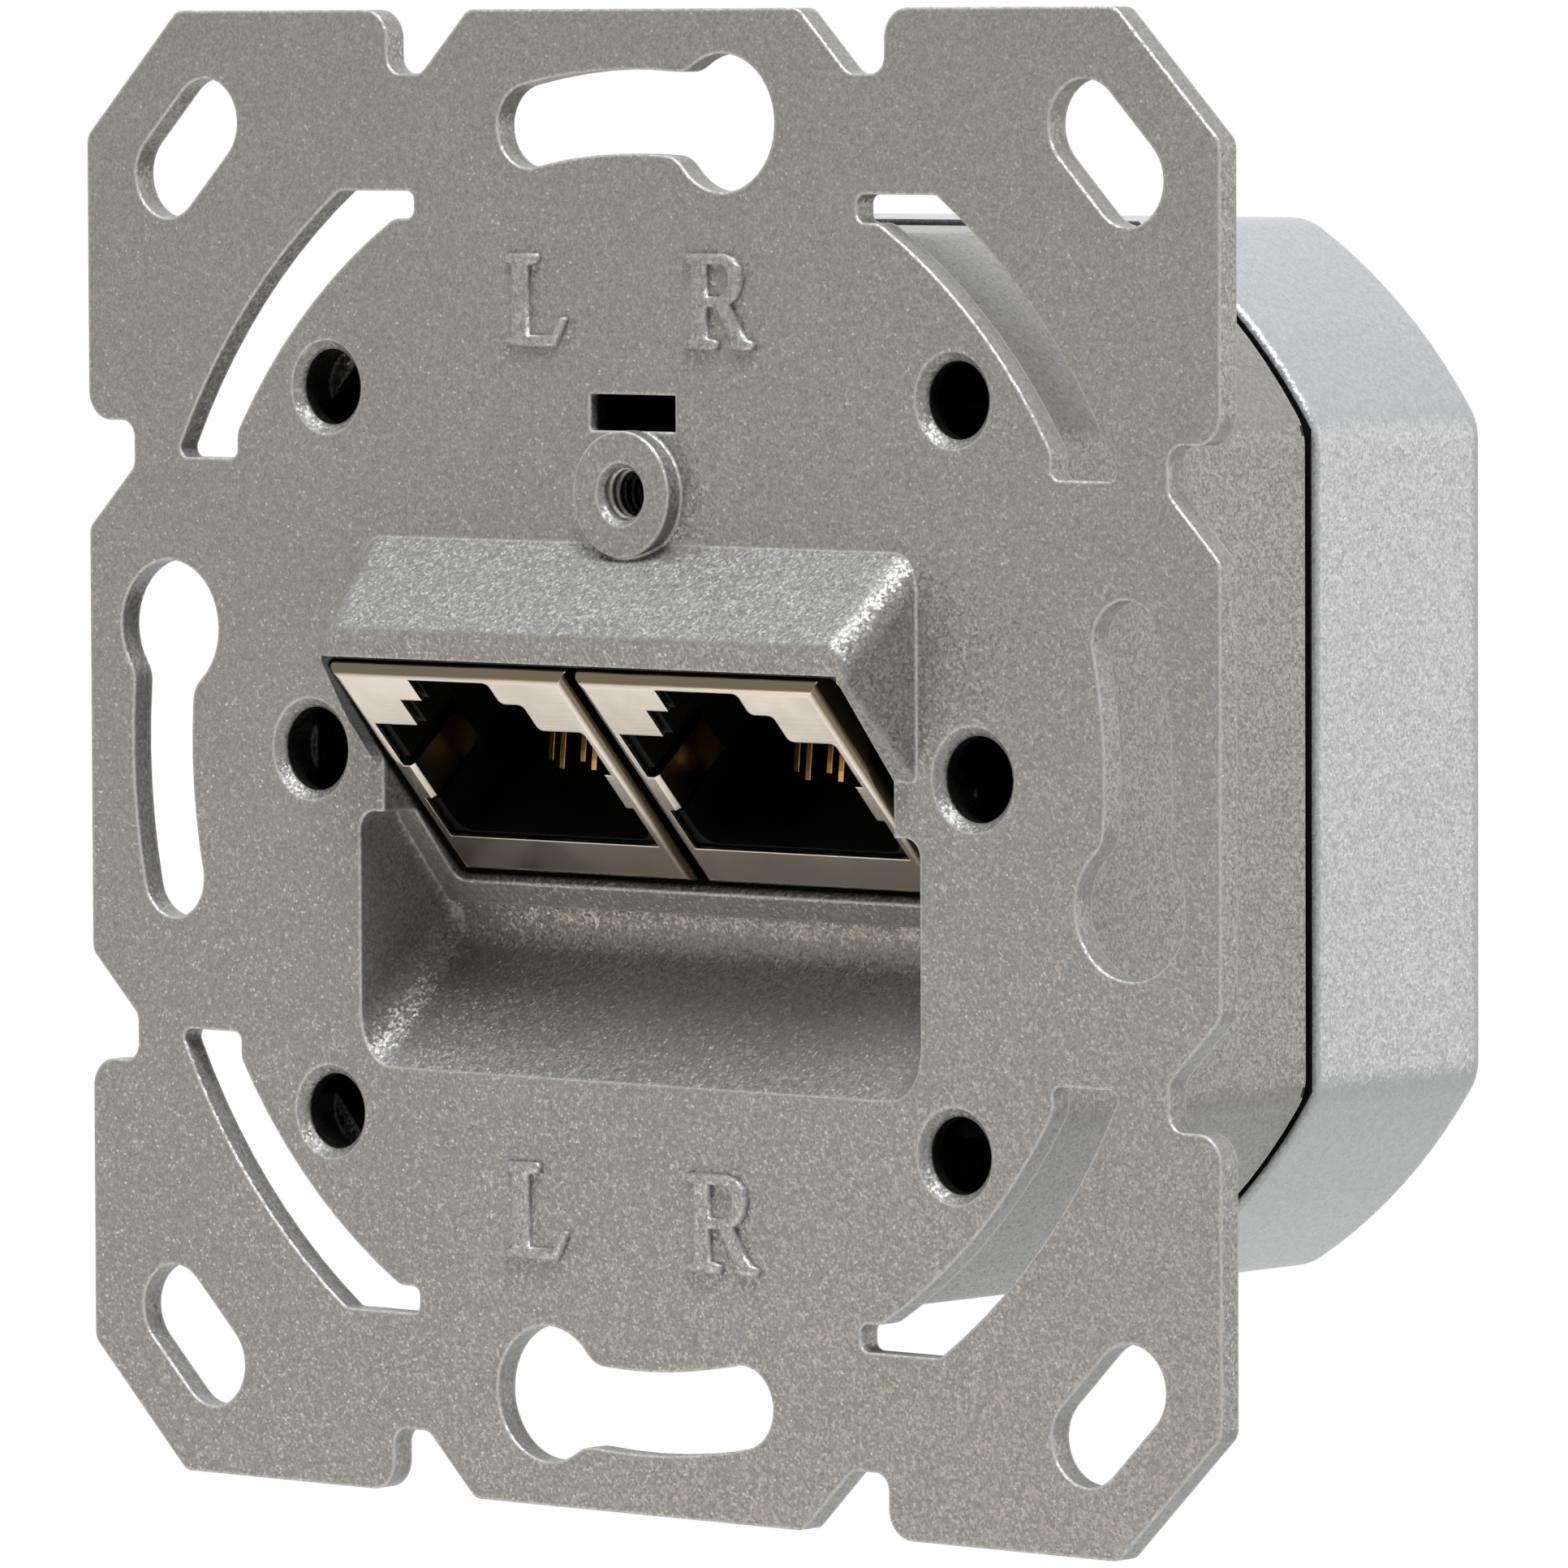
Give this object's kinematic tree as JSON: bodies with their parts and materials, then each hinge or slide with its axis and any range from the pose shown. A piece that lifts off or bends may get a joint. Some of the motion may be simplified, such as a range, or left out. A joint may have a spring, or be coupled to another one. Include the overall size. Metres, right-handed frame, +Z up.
{
  "type": "double ethernet wall outlet",
  "caption": "Shielded double network outlet for a flush box: square cast plate with keyholes, a slanted hood for twin jacks and a deep screened housing with a rear cover.",
  "frame": {"origin": "centre of the mounting plate's back face", "axes": "X to the right seen from the room, Y back into the wall, Z up; the jacks look towards -Y and down"},
  "size_m": [0.07, 0.0378, 0.07],
  "materials": {
    "cast_zinc": "die-cast zinc with a fine sparkling grain, satin",
    "cast_zinc_cover": "die-cast zinc, lighter and smoother",
    "nickel_sheet": "nickel-plated sheet, satin",
    "black_plastic": "black, fine satin",
    "gold_wire": "gold-plated, polished",
    "spring_steel": "stainless spring strip",
    "board_laminate": "green solder mask, gloss",
    "screw_steel": "zinc-plated steel",
    "block_plastic": "off-white plastic",
    "blade_bronze": "tinned bronze",
    "clamp_steel": "zinc-plated steel strip"
  },
  "bodies": {
    "root": {"front_housing": "cast_zinc", "rear_cover": "cast_zinc_cover", "left_jack_shield": "nickel_sheet", "right_jack_shield": "nickel_sheet", "left_jack_body": "black_plastic", "right_jack_body": "black_plastic", "left_jack_carrier": "black_plastic", "right_jack_carrier": "black_plastic", "left_jack_contacts": "gold_wire", "right_jack_contacts": "gold_wire", "shield_spring": "spring_steel", "circuit_board": "board_laminate", "board_screws": "screw_steel", "upper_wire_block": "block_plastic", "lower_wire_block": "block_plastic", "upper_block_contacts": "blade_bronze", "lower_block_contacts": "blade_bronze", "cable_clamp": "clamp_steel", "clamp_screws": "screw_steel", "cover_screws": "screw_steel"}
  },
  "joints": []
}
